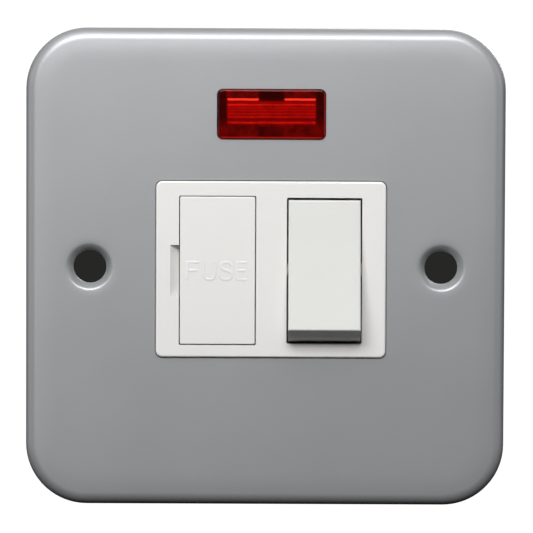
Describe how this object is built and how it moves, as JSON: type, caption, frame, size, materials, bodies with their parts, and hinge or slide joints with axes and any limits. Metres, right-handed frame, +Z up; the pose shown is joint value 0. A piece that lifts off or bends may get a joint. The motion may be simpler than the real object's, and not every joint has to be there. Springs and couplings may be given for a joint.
{
  "type": "fused connection unit",
  "caption": "Metal-clad switched fused connection unit with a pull-out fuse carrier, a rocker switch and a red neon lens.",
  "frame": {"origin": "midway between the two fixing holes, in the middle of their sheet", "axes": "+X to the right of the face, +Y into the wall, +Z up"},
  "size_m": [0.0822, 0.0302, 0.082],
  "materials": {
    "painted_steel": "satin",
    "white_moulding": "semi-gloss",
    "base_moulding": "matt",
    "dark_moulding": "matt",
    "zinc_steel": "bright zinc",
    "brass": "plain",
    "plated_brass": "nickel plated",
    "silver": "plain",
    "ceramic": "unglazed",
    "red_lens": "clear red",
    "lamp_glass": "clear",
    "resistor_body": "matt",
    "lead_sleeve": "sleeved"
  },
  "bodies": {
    "unit": {"ballast_resistor": "resistor_body", "earth_strap": "brass", "earth_terminal_lower": "brass", "earth_terminal_upper": "brass", "fixed_contact_live": "silver", "fixed_contact_neutral": "silver", "front_plate": "painted_steel", "fulcrum_live": "brass", "fulcrum_neutral": "brass", "fuse_clip_lower": "brass", "fuse_clip_upper": "brass", "housing_screws": "zinc_steel", "lamp_lead_live": "lead_sleeve", "lamp_lead_neutral": "lead_sleeve", "live_link": "brass", "live_load_strip": "brass", "live_load_terminal": "brass", "live_supply_strip": "brass", "live_supply_terminal": "brass", "neon_lamp": "lamp_glass", "neon_lens": "red_lens", "neutral_load_strip": "brass", "neutral_load_terminal": "brass", "neutral_supply_strip": "brass", "neutral_supply_terminal": "brass", "plate_studs": "zinc_steel", "stud_nuts": "zinc_steel", "stud_washers": "zinc_steel", "switch_housing": "white_moulding", "terminal_base": "base_moulding", "terminal_screws": "zinc_steel"},
    "rocker": {"rocker": "white_moulding", "plunger_spring_live": "zinc_steel", "plunger_spring_neutral": "zinc_steel"},
    "plunger_live": {"plunger_live": "dark_moulding"},
    "plunger_neutral": {"plunger_neutral": "dark_moulding"},
    "contact_arm_live": {"contact_arm_live": "brass", "moving_contact_live": "silver"},
    "contact_arm_neutral": {"contact_arm_neutral": "brass", "moving_contact_neutral": "silver"},
    "fuse_carrier": {"fuse_carrier": "white_moulding", "fuse_body": "ceramic", "fuse_cap_upper": "plated_brass", "fuse_cap_lower": "plated_brass"}
  },
  "joints": [
    {"name": "rocker_tilt", "type": "hinge", "parent": "unit", "child": "rocker", "pos_m": [0.0101, -0.0003, -0.00055], "axis": [1, 0, 0], "range_deg": [0, 23]},
    {"name": "arm_live_tilt", "type": "hinge", "parent": "unit", "child": "contact_arm_live", "pos_m": [0.0137, 0.0112, -0.00055], "axis": [-1, 0, 0], "range_deg": [0, 16]},
    {"name": "arm_neutral_tilt", "type": "hinge", "parent": "unit", "child": "contact_arm_neutral", "pos_m": [0.0065, 0.0112, -0.00055], "axis": [-1, 0, 0], "range_deg": [0, 16]},
    {"name": "plunger_live_slide", "type": "slide", "parent": "rocker", "child": "plunger_live", "axis": [0, -0.9799, 0.1994], "range_m": [0, 0.0005]},
    {"name": "plunger_neutral_slide", "type": "slide", "parent": "rocker", "child": "plunger_neutral", "axis": [0, -0.9799, 0.1994], "range_m": [0, 0.0005]},
    {"name": "fuse_carrier_slide", "type": "slide", "parent": "unit", "child": "fuse_carrier", "axis": [0, -1, 0], "range_m": [0, 0.016]}
  ],
  "couplings": [
    {"joint": "arm_live_tilt", "follows": "rocker_tilt", "ratio": 0.69565},
    {"joint": "arm_neutral_tilt", "follows": "rocker_tilt", "ratio": 0.69565}
  ]
}
